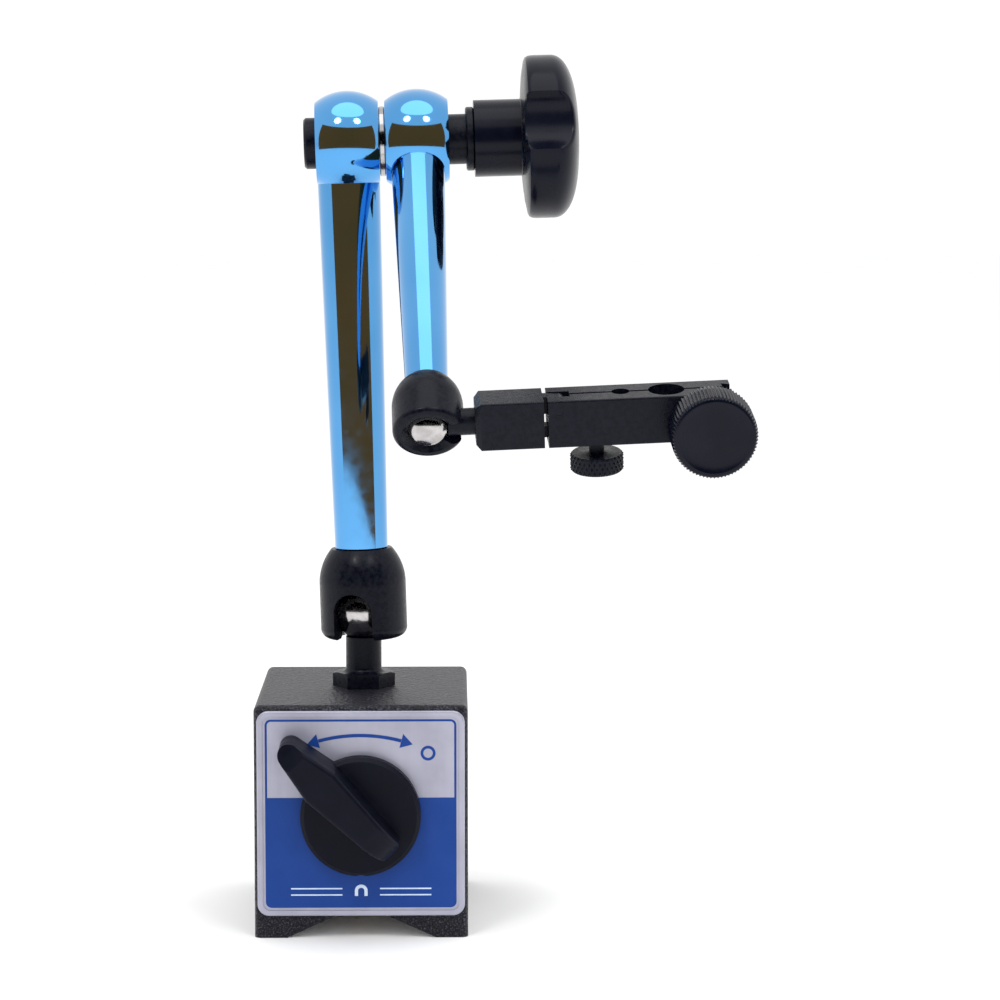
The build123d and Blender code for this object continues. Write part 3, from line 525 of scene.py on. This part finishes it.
def star_grip():
    """The lock knob: three soft lobes round a domed face, with a hub behind it and a blind bore."""
    origin, axis = axis_of("lock_turn")
    low, high, radius = span("lock_knob", origin, axis)
    back = low + HUB_LENGTH * MM
    hub, bore, bore_end = 9.1 * MM, 6.02 * MM, back + 5.0 * MM
    flute, sink, soft = 8.0 * MM, 5.0 * MM, 1.1 * MM
    reach = radius + flute - sink
    first, second = across_axis(axis)
    arm = Vector(JOINTS["lower_rod_travel"]["axis"])
    start = math.atan2(arm.dot(second), arm.dot(first))

    def blend(a, b):
        """The smaller of two lengths, rounded where they cross."""
        gap = max(soft - abs(a - b), 0.0) / soft
        return min(a, b) - gap * gap * soft / 4

    def lobed(limit):
        """A ring cut back by the three flutes."""

        def radius_at(turn):
            made = limit
            for lobe in range(LOBES):
                away = turn - start - math.radians(FLUTE_AT + 360 * lobe / LOBES)
                depth = flute * flute - (reach * math.sin(away)) ** 2
                if depth > 0 and math.cos(away) > 0:
                    made = blend(made, reach * math.cos(away) - math.sqrt(depth))
            return made

        return radius_at

    profile = [(-1.2, hub), (-1.0, hub + 0.2 * MM), (-0.5, radius - 4.0 * MM), (0.0, radius - 1.2 * MM)]
    profile += [(0.35, radius - 0.5 * MM), (1.0, radius - 0.12 * MM), (2.0, radius), (RIM_TOP, radius)]
    for step in range(1, DOME_STEPS + 1):
        lift = math.radians(90 * step / DOME_STEPS)
        height = RIM_TOP + DOME_RISE * math.sin(lift) ** 0.9
        limit = radius * max(math.cos(lift), 0.0) ** 0.72
        profile.append((height, max(limit, 0.15 * MM)))
    rings = [(bore_end, plain(0.2 * MM)), (bore_end, plain(bore)), (low, plain(bore)), (low, plain(hub))]
    rings += [(back + height * MM, lobed(limit)) for height, limit in profile]
    mesh = turned_mesh("lock_knob_moulded", origin, axis, rings, 360)
    made = piece("lock_knob_moulded", mesh, FINISHES["black_knob"], "lock_knob")
    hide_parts("lock_knob")


thumb_wheel()
clamp_grip()
star_grip()

# ---------------------------------------------------------------- studio

FLOOR_RADIUS = 6.0
FLAG_DISTANCE = 0.8
SUBJECT = Vector((0.015, -0.02, 0.12))


def outward(turn, rise):
    """The direction at an azimuth from the front and an elevation, both in radians."""
    return Vector((math.sin(turn) * math.cos(rise), -math.cos(turn) * math.cos(rise), math.sin(rise)))


def studio_floor():
    """A wide, pale, seamless floor."""
    mesh = bpy.data.meshes.new("studio_floor")
    sides = 96
    turns = [math.tau * i / sides for i in range(sides)]
    mesh.from_pydata(
        [(FLOOR_RADIUS * math.cos(t), FLOOR_RADIUS * math.sin(t), cad_low.z) for t in turns],
        [],
        [tuple(range(sides))],
    )
    floor = bpy.data.objects.new("studio_floor", mesh)
    bpy.context.scene.collection.objects.link(floor)
    mesh.materials.append(
        surface(
            "pale_paper", (0.955, 0.955, 0.955), (0.965, 0.965, 0.965), 0.0, (0.8, 0.9),
            patch=20.0, grain=900.0, flat={"Specular IOR Level": 0.0},
        )
    )


def dark_flag():
    """A dark brown screen behind the camera that only the lacquered pieces mirror."""
    rows, columns, half_turn, half_rise = 8, 24, math.radians(68), math.radians(37)
    points = []
    for row in range(rows + 1):
        rise = -half_rise + 2 * half_rise * row / rows
        for column in range(columns + 1):
            turn = -half_turn + 2 * half_turn * column / columns
            points.append(SUBJECT + outward(turn, rise) * FLAG_DISTANCE)
    wide = columns + 1
    corners = [row * wide + column for row in range(rows) for column in range(columns)]
    faces = [(corner, corner + 1, corner + 1 + wide, corner + wide) for corner in corners]
    mesh = bpy.data.meshes.new("dark_flag")
    mesh.from_pydata(points, [], faces)
    flag = bpy.data.objects.new("dark_flag", mesh)
    bpy.context.scene.collection.objects.link(flag)
    made, tree, shader = new_material("dark_flag")
    glow = node(tree, "Emission", strength=1.0)
    glow.inputs["Color"].default_value = (0.48, 0.114, 0.025, 1)
    tree.links.new(glow.outputs[0], tree.nodes["Material Output"].inputs["Surface"])
    tree.nodes.remove(shader)
    mesh.materials.append(made)
    flag.visible_camera = False
    flag.visible_diffuse = False
    flag.visible_shadow = False
    lacquered = bpy.data.collections.new("lacquered_pieces")
    for name, part in NODES.items():
        if SLOT_OF[name] == "blue_chrome":
            lacquered.objects.link(part)
    flag.light_linking.receiver_collection = lacquered


def softbox(name, azimuth, elevation, distance, width, height, power):
    """A soft light aimed at the middle of the object."""
    out = outward(math.radians(azimuth), math.radians(elevation))
    lamp = bpy.data.lights.new(name, "AREA")
    lamp.shape = "ELLIPSE"
    lamp.size = width
    lamp.size_y = height
    lamp.energy = power
    holder = bpy.data.objects.new(name, lamp)
    bpy.context.scene.collection.objects.link(holder)
    holder.location = SUBJECT + out * distance
    holder.rotation_mode = "QUATERNION"
    holder.rotation_quaternion = out.to_track_quat("Z", "Y")


def surroundings():
    """An even white room."""
    world = bpy.data.worlds.new("white_room")
    world.use_nodes = True
    world.node_tree.nodes["Background"].inputs["Color"].default_value = (1, 1, 1, 1)
    world.node_tree.nodes["Background"].inputs["Strength"].default_value = 1.04
    bpy.context.scene.world = world


studio_floor()
dark_flag()
surroundings()
softbox("left_softbox", -30, 50, 1.0, 0.22, 0.22, 1.6)
softbox("right_softbox", 30, 50, 1.0, 0.22, 0.22, 1.6)
softbox("top_softbox", 0, 80, 1.1, 1.1, 0.8, 2.8)

# ---------------------------------------------------------------- camera

CAMERA_PLACE = Vector((0.0212, -0.7609, 0.1795))
CAMERA_RIGHT = 0.883
CAMERA_DOWN = 5.967
CAMERA_LENS = 114.44

lens = bpy.data.cameras.new("camera")
lens.sensor_width = 36.0
lens.lens = CAMERA_LENS
lens.clip_start = 0.05
lens.clip_end = 30.0
camera = bpy.data.objects.new("camera", lens)
bpy.context.scene.collection.objects.link(camera)
camera.location = CAMERA_PLACE
camera.rotation_euler = (math.radians(90 - CAMERA_DOWN), 0, math.radians(-CAMERA_RIGHT))
bpy.context.scene.camera = camera
bpy.context.scene.view_settings.view_transform = "Standard"
